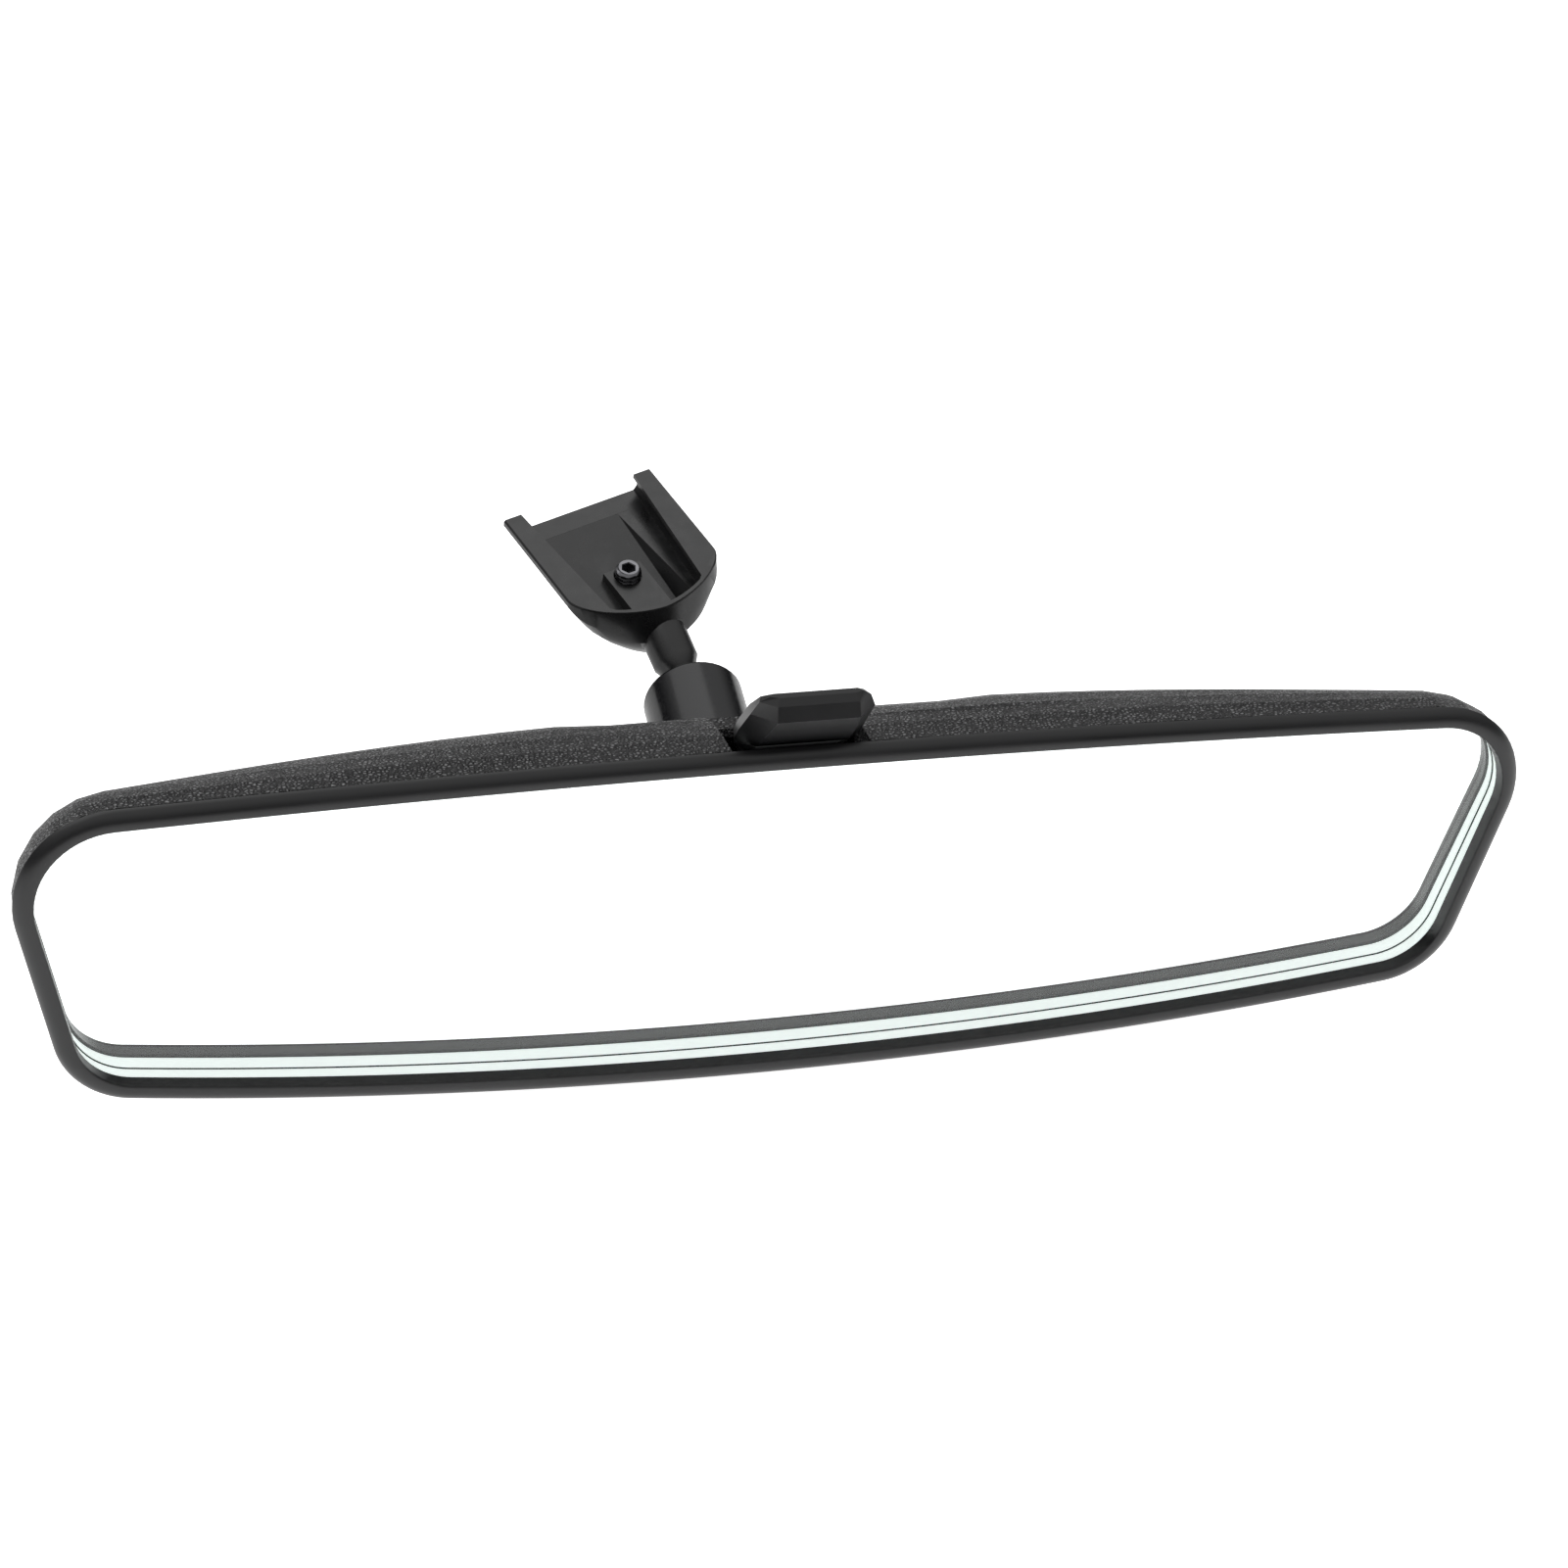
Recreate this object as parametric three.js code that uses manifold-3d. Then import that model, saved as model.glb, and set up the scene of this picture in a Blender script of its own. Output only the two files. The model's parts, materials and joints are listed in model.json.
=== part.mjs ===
// Interior rear-view mirror with a windshield channel bracket, a double-ball mount and a day/night lever.
// Millimetres, +Z up. The shapes are drawn in the head's frame: X along the glass, Y from the glass
// towards the windshield, Z up, with the bezel lip's front plane at y = 0. At the end everything is
// shifted so that the origin is on the bracket's seat, where the windshield button bears.
import * as THREE from "three";
import { mergeVertices } from "three/addons/utils/BufferGeometryUtils.js";
import Module from "manifold-3d";

const wasm = await Module();
wasm.setup();

// ---------------------------------------------------------------- head outline
const HEAD = {
  halfTop: 27.75, // lip opening, centre to top edge
  halfBottom: 27.75,
  topRadius: 3300, // long top edge, bowed up
  bottomRadius: 880, // long bottom edge, bowed down
  sideX: 120.6, // side line at z = 0
  sideLean: 0.274, // the head widens upwards
  topCorner: 12.8,
  bottomCorner: 11.2,
};
const ARC_STEPS = 12;
const CORNER_STEPS = 6;
const SIDE_STEPS = 2;

// ---------------------------------------------------------------- bezel, glass and film
const BEZEL_RING = 3.25; // lip's inner edge to the outer edge
const BEZEL_SEAM_Y = 2.3; // where the bezel meets the housing
const LIP_BACK_Y = 2.6;
const SKIRT_END_Y = 5.2;
const SKIRT_OUT = 1.2;
const SKIRT_IN = 0.55;
const GLASS_FRONT_Y = 2.85;
const GLASS_MID_T = 4.1;
const GLASS_WEDGE = 1.0; // added at the bottom edge, taken off at the top edge
const GLASS_REACH = 0.3; // beyond the lip's inner edge
const FILM_GAP = 0.2;
const FILM_T = 0.4;

// ---------------------------------------------------------------- rear housing
const SHELL_OUT = 3.1; // outline offset at the seam
const SHELL_WALL = 1.3;
const SHELL_DEPTH = 22.9; // deepest y, either side of the middle
const SHELL_DIP = 1.2; // shallower band across the middle
const DIP_HALF = 29;
const DIP_RAMP = 8;
const DEPTH_FALL = 0.0131; // how fast the depth falls towards the ends
const DEPTH_POWER = 1.5;
const NOTCH_X = [-12.2, 11.1];
const NOTCH_BACK_Y = 15.2;
const NOTCH_FLOOR_Z = 27.4;
const REAR_HOLE_R = 9;

// ---------------------------------------------------------------- day/night mechanism
const PLATE_PIVOT = { y: 12.5, z: -19.5 };
const LEVER_PIVOT = { y: 11.6, z: 23.8 };
const CRANK_R = 3.2;
const CRANK_REST = 26; // degrees behind straight down
const PIN_R = 1.1;
const CRANK_PIN_R = 1.2;
const RUN_GAP = 0.06;
const PLATE_FRONT_Y = 14.2;
const PLATE_T = 1.4;
const PLATE_HALF = 27;
const EAR_X = [8, 9.5];
const LUG_TOP_X = [12.7, 15.2];
const LEVER_HALF = 7.4;
const DETENT_Y = 17.35;
const DETENT_HOLE_R = 0.95;

// ---------------------------------------------------------------- double-ball mount
const BALL_R = 6.4;
const TUBE_R = 8.7;
const TUBE_BORE = 7.25;
const TUBE_OVERHANG = 1.6; // tube end beyond each ball centre
const HEAD_BALL = new THREE.Vector3(0, 32, -7);
const MOUNT_BALL = new THREE.Vector3(2.01, 68, 2.02);
const MOUNT_SPAN = HEAD_BALL.distanceTo(MOUNT_BALL);
const TUBE_DIR = MOUNT_BALL.clone().sub(HEAD_BALL).normalize();

// ---------------------------------------------------------------- windshield bracket, own axes (u, v, n)
const BRACKET = {
  origin: new THREE.Vector3(-3.45, 86.38, 17.93), // centre of the round end, rim plane
  u: new THREE.Vector3(0.9496, 0.2819, 0.1368),
  v: new THREE.Vector3(-0.3095, 0.9119, 0.2696),
  half: 15.1,
  open: 21.9, // v of the open end
  round: 8.9, // v extent of the round end
  roundPower: 1.66,
};
// Side levels from the rim down: height, how far the wall has come in, and the reach of the round end.
const SHALLOW_SIDE = [
  [0, 0.3, 8.6],
  [-0.3, 0, 8.9],
  [-1.3, 0.05, 8.9],
  [-3.0, 1.2, 7.7],
  [-5.0, 3.0, 5.9],
  [-6.5, 5.5, 3.4],
  [-7.2, 8.0, 0.9],
];
const DEEP_SIDE = [
  [0, 0.3, 8.6],
  [-0.3, 0, 8.9],
  [-3.1, -0.5, 10.3],
  [-6.0, 1.4, 11.2],
  [-8.8, 4.4, 10.2],
  [-11.2, 7.4, 8.9],
  [-12.9, 11.0, 6.0],
];
const DEEP_FROM_V = 0.5; // the side starts to deepen here, towards the round end
const DEEP_AT_V = -5;
const FLOOR_N = -4;
const LIP_N = -1.2;
const CHANNEL_HALF = 9.75; // channel mouth, half width at v = 0
const CHANNEL_TAPER = 0.085;
const UNDERCUT = 1.0;
const SUNK = 3.2; // how far the floor slopes down at the round end
const SUNK_HALF = 8.8; // half width of the sloping part, where it starts
const SUNK_DRAFT = 0.72; // its half width at the bottom, as a share
const PAD_HALF = 3.7;
const PAD_END = 6.2;
const SEAT_V = -2.4; // seat point on the pad
const SCREW_V = 4.0;
const SCREW_TIP_N = -2.1;
const SCREW_END_N = -8.6;
const SCREW_R = 2.4;
const NECK_ROOT = new THREE.Vector3(-0.3, -8.4, -6.2);
const SIDE_ROWS = 4;
const NECK_R = 4.15;
const WAIST_R = 3.0;

// ---------------------------------------------------------------- small tools
const V3 = (x, y, z) => new THREE.Vector3(x, y, z);
const RAD = Math.PI / 180;

function triangles(points, faces) {
  const g = new THREE.BufferGeometry();
  g.setAttribute("position", new THREE.Float32BufferAttribute(points.flatMap((p) => [p.x, p.y, p.z]), 3));
  g.setIndex(faces.flat());
  return g;
}

function solid(g) {
  const bare = new THREE.BufferGeometry();
  bare.setAttribute("position", g.getAttribute("position").clone());
  if (g.index) bare.setIndex(g.index);
  const m = mergeVertices(bare, 1e-4);
  const mesh = new wasm.Mesh({
    numProp: 3,
    vertProperties: new Float32Array(m.attributes.position.array),
    triVerts: new Uint32Array(m.index.array),
  });
  const made = new wasm.Manifold(mesh);
  if (made.volume() >= 0) return made;
  const flipped = new Uint32Array(m.index.array);
  for (let i = 0; i < flipped.length; i += 3) {
    const second = flipped[i + 1];
    flipped[i + 1] = flipped[i + 2];
    flipped[i + 2] = second;
  }
  const vertProperties = new Float32Array(m.attributes.position.array);
  return new wasm.Manifold(new wasm.Mesh({ numProp: 3, vertProperties, triVerts: flipped }));
}

function geometryOf(manifold) {
  const mesh = manifold.getMesh();
  const g = new THREE.BufferGeometry();
  const pos = new Float32Array(mesh.numVert * 3);
  for (let i = 0; i < mesh.numVert; i++)
    for (let k = 0; k < 3; k++) pos[3 * i + k] = mesh.vertProperties[i * mesh.numProp + k];
  g.setAttribute("position", new THREE.BufferAttribute(pos, 3));
  g.setIndex(new THREE.BufferAttribute(new Uint32Array(mesh.triVerts), 1));
  return g;
}

const join = (...parts) => parts.reduce((a, b) => a.add(b));
const cut = (a, ...parts) => parts.reduce((m, b) => m.subtract(b), a);

// A stack of rings with equal point counts; flat ends are filled with the given 2-D picker.
function stack(rings, flat) {
  const n = rings[0].length;
  const points = rings.flat();
  const faces = [];
  for (let r = 0; r + 1 < rings.length; r++)
    for (let i = 0; i < n; i++) {
      const a = r * n + i;
      const b = r * n + ((i + 1) % n);
      faces.push([a, b, b + n], [a, b + n, a + n]);
    }
  const fill = (r, back) => {
    const tris = THREE.ShapeUtils.triangulateShape(rings[r].map((p) => new THREE.Vector2(...flat(p))), []);
    for (const [a, b, c] of tris) {
      const f = [a + r * n, b + r * n, c + r * n];
      faces.push(back ? f.reverse() : f);
    }
  };
  const clockwise = THREE.ShapeUtils.area(rings[0].map((p) => new THREE.Vector2(...flat(p)))) < 0;
  fill(0, !clockwise);
  fill(rings.length - 1, clockwise);
  return triangles(points, faces);
}

// Rings joined end to end, for a frame that closes on itself.
function hoop(rings) {
  const n = rings[0].length;
  const m = rings.length;
  const faces = [];
  for (let r = 0; r < m; r++)
    for (let i = 0; i < n; i++) {
      const a = r * n + i;
      const b = r * n + ((i + 1) % n);
      const c = ((r + 1) % m) * n + ((i + 1) % n);
      const d = ((r + 1) % m) * n + i;
      faces.push([a, b, c], [a, c, d]);
    }
  return triangles(rings.flat(), faces);
}

function box(x0, x1, y0, y1, z0, z1) {
  const g = new THREE.BoxGeometry(x1 - x0, y1 - y0, z1 - z0);
  g.translate((x0 + x1) / 2, (y0 + y1) / 2, (z0 + z1) / 2);
  return solid(g);
}

// A bar along X with a round section.
function barX(x0, x1, y, z, r, steps = 24) {
  const g = new THREE.CylinderGeometry(r, r, x1 - x0, steps);
  g.rotateZ(Math.PI / 2);
  g.translate((x0 + x1) / 2, y, z);
  return solid(g);
}

// A round part about the line from P towards dir; profile is [radius, height] pairs.
function turned(profile, P, dir, steps = 40) {
  const g = new THREE.LatheGeometry(profile.map(([r, h]) => new THREE.Vector2(r, h)), steps);
  g.applyQuaternion(new THREE.Quaternion().setFromUnitVectors(V3(0, 1, 0), dir));
  g.translate(P.x, P.y, P.z);
  return solid(g);
}

function rod(radius, from, to, P, dir, steps) {
  return turned([[0, from], [radius, from], [radius, to], [0, to]], P, dir, steps);
}

function arc(radius, from, to, steps) {
  const out = [];
  for (let i = 0; i <= steps; i++) {
    const t = (from + ((to - from) * i) / steps) * RAD;
    out.push([radius * Math.sin(t), radius * Math.cos(t)]);
  }
  return out;
}

// A plate with a profile in Y and Z, between two x values.
function profileX(pairs, x0, x1) {
  const s = new THREE.Shape(pairs.map(([y, z]) => new THREE.Vector2(y, z)));
  const g = new THREE.ExtrudeGeometry(s, { depth: x1 - x0, bevelEnabled: false });
  g.applyMatrix4(new THREE.Matrix4().makeBasis(V3(0, 1, 0), V3(0, 0, 1), V3(1, 0, 0)));
  g.translate(x0, 0, 0);
  return solid(g);
}

// ---------------------------------------------------------------- the head's outline
// The lip opening offset outwards by g: two long arcs, leaning sides and four corner arcs.
function outline(g) {
  const lean = Math.hypot(1, HEAD.sideLean);
  const topC = HEAD.halfTop - HEAD.topRadius;
  const botC = HEAD.bottomRadius - HEAD.halfBottom;
  const Rt = HEAD.topRadius + g;
  const Rb = HEAD.bottomRadius + g;
  const rt = HEAD.topCorner + g;
  const rb = HEAD.bottomCorner + g;
  const side = HEAD.sideX + g * lean;
  const corner = (centre, R, r, sign) => {
    const A = lean * lean;
    const x0 = side - r * lean;
    const B = 2 * x0 * HEAD.sideLean - 2 * centre;
    const C = x0 * x0 + centre * centre - (R - r) ** 2;
    const z = (-B + sign * Math.sqrt(B * B - 4 * A * C)) / (2 * A);
    return [x0 + HEAD.sideLean * z, z];
  };
  const ft = corner(topC, Rt, rt, 1);
  const fb = corner(botC, Rb, rb, -1);
  const at = Math.atan2(ft[1] - topC, ft[0]);
  const as = Math.atan2(-HEAD.sideLean, 1);
  const ab = Math.atan2(fb[1] - botC, fb[0]);
  const half = [];
  const sweep = (cx, cz, R, a, b, n) => {
    for (let i = 0; i < n; i++) {
      const t = a + ((b - a) * i) / n;
      half.push([cx + R * Math.cos(t), cz + R * Math.sin(t)]);
    }
  };
  sweep(0, topC, Rt, Math.PI / 2, at, ARC_STEPS);
  sweep(ft[0], ft[1], rt, at, as, CORNER_STEPS);
  const p = [ft[0] + rt * Math.cos(as), ft[1] + rt * Math.sin(as)];
  const q = [fb[0] + rb * Math.cos(as), fb[1] + rb * Math.sin(as)];
  for (let i = 0; i < SIDE_STEPS; i++)
    half.push([p[0] + ((q[0] - p[0]) * i) / SIDE_STEPS, p[1] + ((q[1] - p[1]) * i) / SIDE_STEPS]);
  sweep(fb[0], fb[1], rb, as, ab, CORNER_STEPS);
  sweep(0, botC, Rb, ab, -Math.PI / 2, ARC_STEPS);
  const last = [0, botC - Rb];
  const left = half.slice(1).reverse().map(([x, z]) => [-x, z]);
  return [...half, last, ...left];
}
const HALF_COUNT = 2 * ARC_STEPS + 2 * CORNER_STEPS + SIDE_STEPS; // index of the bottom middle
const ringAt = (g, yOf) => outline(g).map(([x, z]) => V3(x, yOf(x, z), z));

// ---------------------------------------------------------------- head parts
function frontBezel() {
  const section = [
    [-0.1, LIP_BACK_Y],
    [0, 0.25],
    [0.25, 0],
    [1.0, -0.02],
    [1.8, 0.2],
    [2.5, 0.62],
    [3.0, 1.2],
    [BEZEL_RING, 1.85],
    [BEZEL_RING - 0.1, BEZEL_SEAM_Y - 0.25],
    [BEZEL_RING - 0.45, BEZEL_SEAM_Y - 0.1],
    [SKIRT_OUT, BEZEL_SEAM_Y - 0.1],
    [SKIRT_OUT, SKIRT_END_Y],
    [SKIRT_IN, SKIRT_END_Y],
    [SKIRT_IN, LIP_BACK_Y],
  ];
  const loops = section.map(([g, y]) => ringAt(g, () => y));
  return solid(hoop(loops));
}

const glassBack = (z) => GLASS_FRONT_Y + GLASS_MID_T - (GLASS_WEDGE * z) / HEAD.halfBottom;
const flatXZ = (p) => [p.x, p.z];
const flatXY = (p) => [p.x, p.y];

function mirrorGlass() {
  const front = ringAt(GLASS_REACH, () => GLASS_FRONT_Y);
  const back = ringAt(GLASS_REACH, (x, z) => glassBack(z));
  return solid(stack([front, back], flatXZ));
}

function backingFilm() {
  const front = (x, z) => glassBack(z) + FILM_GAP;
  const back = (x, z) => front(x, z) + FILM_T;
  return solid(stack([ringAt(GLASS_REACH - 0.8, front), ringAt(GLASS_REACH - 0.8, back)], flatXZ));
}

// Depth of the housing's back against |x|.
function shellDepth(x) {
  const a = Math.abs(x);
  const edge = DIP_HALF + DIP_RAMP;
  if (a > edge) return SHELL_DEPTH - DEPTH_FALL * (a - edge) ** DEPTH_POWER;
  const t = Math.max(0, (a - DIP_HALF) / DIP_RAMP);
  return SHELL_DEPTH - SHELL_DIP * (1 - t * t * (3 - 2 * t));
}

// Rings from the seam to the back: share of the depth reached, and how far the wall has come in.
const SHELL_STEPS = [
  [0, 0],
  [0.28, 0.25],
  [0.5, 0.8],
  [0.68, 1.6],
  [0.8, 2.6],
  [0.89, 4.0],
  [0.95, 5.8],
  [0.985, 8.0],
  [1, 10.5],
];
const BACK_ROWS = 4;
const BACK_CROWN = 0.7;

function shellBody(inset, frontY, backShift) {
  const rings = SHELL_STEPS.map(([s, d]) =>
    ringAt(SHELL_OUT - inset - d, (x) => frontY + (shellDepth(x) - backShift - frontY) * s),
  );
  const n = rings[0].length;
  const points = rings.flat();
  const faces = [];
  for (let r = 0; r + 1 < rings.length; r++)
    for (let i = 0; i < n; i++) {
      const a = r * n + i;
      const b = r * n + ((i + 1) % n);
      faces.push([a, b, b + n], [a, b + n, a + n]);
    }
  const first = rings[0].map((p) => new THREE.Vector2(p.x, p.z));
  for (const [a, b, c] of THREE.ShapeUtils.triangulateShape(first, []))
    faces.push(THREE.ShapeUtils.area(first) < 0 ? [a, b, c] : [c, b, a]);
  // The back: rows between facing points of the last ring, crowned a little.
  const base = (rings.length - 1) * n;
  const columns = [];
  const middle = HALF_COUNT / 2;
  for (let k = -middle; k <= middle; k++) {
    const top = k >= 0 ? k : n + k;
    const bottom = HALF_COUNT - k;
    if (top === bottom || Math.abs(k) === middle) {
      columns.push([base + (k > 0 ? middle : n - middle)]);
      continue;
    }
    const P = points[base + top];
    const Q = points[base + bottom];
    const column = [base + top];
    for (let j = 1; j < BACK_ROWS; j++) {
      const t = j / BACK_ROWS;
      const x = P.x + (Q.x - P.x) * t;
      const z = P.z + (Q.z - P.z) * t;
      const crown = BACK_CROWN * 4 * t * (1 - t);
      points.push(V3(x, shellDepth(x) - backShift + crown, z));
      column.push(points.length - 1);
    }
    column.push(base + bottom);
    columns.push(column);
  }
  for (let c = 0; c + 1 < columns.length; c++) {
    const a = columns[c];
    const b = columns[c + 1];
    const rows = Math.max(a.length, b.length) - 1;
    for (let j = 0; j < rows; j++) {
      if (a.length === 1) faces.push([a[0], b[j], b[j + 1]]);
      else if (b.length === 1) faces.push([a[j], b[0], a[j + 1]]);
      else faces.push([a[j], b[j], b[j + 1]], [a[j], b[j + 1], a[j + 1]]);
    }
  }
  return solid(triangles(points, faces));
}

function rearHousing() {
  const outside = shellBody(0, BEZEL_SEAM_Y, 0);
  const inside = shellBody(SHELL_WALL, BEZEL_SEAM_Y - 1, SHELL_WALL);
  const shell = cut(outside, inside);
  const parts = [];
  for (const s of [-1, 1]) {
    const near = s * LUG_TOP_X[0];
    const far = s * LUG_TOP_X[1];
    const lug = [
      [-3.2, 5.8],
      [-2.6, -1.2],
      [-1.2, -2.6],
      [1.2, -2.6],
      [2.6, -1.2],
      [4.4, 5.8],
    ].map(([y, z]) => [LEVER_PIVOT.y + y, LEVER_PIVOT.z + z]);
    parts.push(profileX(lug, Math.min(near, far), Math.max(near, far)));
    for (const [a, b] of [[12.6, 16.2], [27.8, 30.6]]) {
      const foot = [
        [9.2, -17.4],
        [10.6, -16.4],
        [14.4, -16.4],
        [15.8, -17.4],
        [18.6, -29.4],
        [9.2, -29.4],
      ];
      parts.push(profileX(foot, Math.min(s * a, s * b), Math.max(s * a, s * b)));
    }
  }
  const ledge = profileX([[NOTCH_BACK_Y, 25.8], [19.6, 25.8], [19.6, 29], [NOTCH_BACK_Y, 29]], -13.6, 13.6);
  const solids = join(shell, ...parts.map((p) => p.intersect(outside)), ledge.intersect(outside));
  const hole = rod(REAR_HOLE_R, 17, 27, V3(0, 0, HEAD_BALL.z), V3(0, 1, 0), 40);
  return cut(
    solids,
    box(...NOTCH_X, 0, NOTCH_BACK_Y, 20, 40),
    box(...NOTCH_X, NOTCH_BACK_Y - 1, 30, NOTCH_FLOOR_Z, 40),
    hole,
    barX(-18, 18, LEVER_PIVOT.y, LEVER_PIVOT.z, PIN_R + RUN_GAP),
    barX(-31.5, 31.5, PLATE_PIVOT.y, PLATE_PIVOT.z, PIN_R + RUN_GAP),
    ...[-1, 1].map((s) => rod(DETENT_HOLE_R, 23.4, 27, V3(s * 4, DETENT_Y, 0), V3(0, 0, 1), 16)),
  );
}

// ---------------------------------------------------------------- day/night lever
// Finger tab sections: height, front y and half width, flank y and half width, back y.
const TAB = [
  [26.2, 7.6, 6.2, 8.2, 7.2, 10.8],
  [29.4, 5.5, 7.2, 7.4, 10.3, 10.0],
  [30.7, 3.4, 7.4, 6.4, 10.7, 9.3],
  [33.5, 0.9, 7.5, 4.4, 10.7, 7.4],
  [38.7, -3.5, 6.9, 0.1, 10.4, 3.2],
  [41.1, -2.6, 6.8, -0.5, 9.3, 1.3],
  [42.2, -1.6, 6.4, -1.0, 7.7, -0.1],
];

function toggleLever() {
  const rings = TAB.map(([z, fy, fw, sy, sw, by]) => [
    V3(-fw, fy, z),
    V3(fw, fy, z),
    V3(sw, sy, z),
    V3(sw - 0.7, by, z),
    V3(-sw + 0.7, by, z),
    V3(-sw, sy, z),
  ]);
  const tab = solid(stack(rings, flatXY));
  const barrel = barX(-LEVER_HALF, LEVER_HALF, LEVER_PIVOT.y, LEVER_PIVOT.z, 2.7, 28);
  const pin = crankPin();
  const arm = barX(-LEVER_HALF, LEVER_HALF, pin.y, pin.z, 2.1, 20);
  const stem = profileX([[9.2, 22.6], [13.4, 25.2], [10.4, 27.4], [7.4, 27.4], [8.0, 25.6]], -6.2, 6.2);
  return cut(
    join(barrel, arm, stem, tab),
    barX(-20, 20, LEVER_PIVOT.y, LEVER_PIVOT.z, PIN_R + RUN_GAP),
    barX(-20, 20, pin.y, pin.z, CRANK_PIN_R + 0.02),
  );
}

function crankPin() {
  return {
    y: LEVER_PIVOT.y + CRANK_R * Math.sin(CRANK_REST * RAD),
    z: LEVER_PIVOT.z - CRANK_R * Math.cos(CRANK_REST * RAD),
  };
}

function togglePlate() {
  const back = PLATE_FRONT_Y + PLATE_T;
  const pin = crankPin();
  const outlineXZ = [
    [-PLATE_HALF, -16.4],
    [-PLATE_HALF, -6],
    [-14, 12],
    [14, 12],
    [PLATE_HALF, -6],
    [PLATE_HALF, -16.4],
  ];
  const s = new THREE.Shape(outlineXZ.map(([x, z]) => new THREE.Vector2(x, z)));
  const g = new THREE.ExtrudeGeometry(s, { depth: PLATE_T, bevelEnabled: false });
  g.applyMatrix4(new THREE.Matrix4().makeBasis(V3(1, 0, 0), V3(0, 0, 1), V3(0, -1, 0)));
  g.translate(0, back, 0);
  const sheet = solid(g);
  const slot = CRANK_PIN_R + 0.16;
  const ear = [
    [pin.y - slot - 1.5, 22.2],
    [pin.y - slot - 1.5, 14.2],
    [PLATE_FRONT_Y, 8],
    [back, 8],
    [pin.y + slot + 1.5, 10],
    [pin.y + slot + 1.5, 22.2],
    [pin.y + slot, 22.2],
    [pin.y + slot, pin.z - slot - 0.4],
    [pin.y - slot, pin.z - slot - 0.4],
    [pin.y - slot, 22.2],
  ];
  const pieces = [];
  for (const side of [-1, 1]) {
    const [a, b] = side < 0 ? [-EAR_X[1], -EAR_X[0]] : EAR_X;
    pieces.push(profileX(ear, a, b));
    const [c, d] = side < 0 ? [-PLATE_HALF, -16.8] : [16.8, PLATE_HALF];
    pieces.push(barX(c, d, PLATE_PIVOT.y, PLATE_PIVOT.z, 2.9, 28));
    pieces.push(profileX([[back, -15.6], [back, -18.6], [13.2, -18.6], [13.2, -15.6]], c, d));
  }
  return cut(
    join(sheet, ...pieces),
    barX(-31, 31, PLATE_PIVOT.y, PLATE_PIVOT.z, PIN_R + RUN_GAP),
    rod(3.1, 10, 20, V3(0, 0, HEAD_BALL.z), V3(0, 1, 0), 28),
    box(-12.4, 12.4, 0, 30, -25, -14.2),
  );
}

function detentSpring() {
  const strip = [
    [15.5, 19.8],
    [15.5, 25.0],
    [16.0, 25.5],
    [18.0, 25.5],
    [18.0, 25.0],
    [16.3, 25.0],
    [16.0, 24.7],
    [16.0, 19.8],
  ];
  const holes = [-1, 1].map((s) => rod(DETENT_HOLE_R, 22.5, 28.5, V3(s * 4, DETENT_Y, 0), V3(0, 0, 1), 16));
  return cut(profileX(strip, -6.2, 6.2), ...holes);
}

function detentScrews() {
  const profile = [[0, 0], [0.9, 0], [1.2, 0.3], [1.2, 1.2], [0.8, 1.2], [0.8, 2.9], [0, 2.9]];
  return [-1, 1].map((s) => turned(profile, V3(s * 4, DETENT_Y, 23.6), V3(0, 0, 1), 20));
}

// ---------------------------------------------------------------- ball mount
function headBallStud() {
  const reach = HEAD_BALL.y - PLATE_FRONT_Y - PLATE_T; // ball centre to the plate's back
  const neck = Math.sqrt(BALL_R ** 2 - WAIST_R ** 2);
  const profile = [
    ...arc(BALL_R, 0, 180 - Math.asin(WAIST_R / BALL_R) / RAD, 11),
    [WAIST_R, -neck - 1.2],
    [3.5, -neck - 3.2],
    [3.5, -reach + 2.6],
    [7.0, -reach + 1.9],
    [7.0, -reach + 0.2],
    [2.9, -reach + 0.2],
    [2.9, -reach - PLATE_T - 3.9],
    [2.5, -reach - PLATE_T - 4.3],
    [0, -reach - PLATE_T - 4.3],
  ];
  return turned(profile, HEAD_BALL, V3(0, 1, 0), 30);
}

function studWasher() {
  const profile = [[3.1, 12.7], [6.2, 12.7], [6.2, 13.9], [3.1, 13.9], [3.1, 12.7]];
  return turned(profile, V3(0, 0, HEAD_BALL.z), V3(0, 1, 0), 28);
}

function studNut() {
  const body = new THREE.CylinderGeometry(4.9, 4.9, 2.3, 6);
  body.translate(0, 11.25, HEAD_BALL.z);
  const bore = rod(3.05, 9, 14, V3(0, 0, HEAD_BALL.z), V3(0, 1, 0), 28);
  return cut(solid(body), bore);
}

// Spherical friction cup behind a ball; dir points from the ball into the tube.
function ballLiner(centre, dir) {
  const outer = arc(7.05, 24, 74, 5);
  const inner = arc(6.5, 74, 24, 5);
  return turned([...outer, ...inner, outer[0]], centre, dir, 28);
}

function springSeat(centre, dir) {
  const cup = arc(7.15, 66, 25, 5);
  return turned([...cup, [3.02, 9], [7.1, 9], [7.1, cup[0][1]], cup[0]], centre, dir, 28);
}

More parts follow.
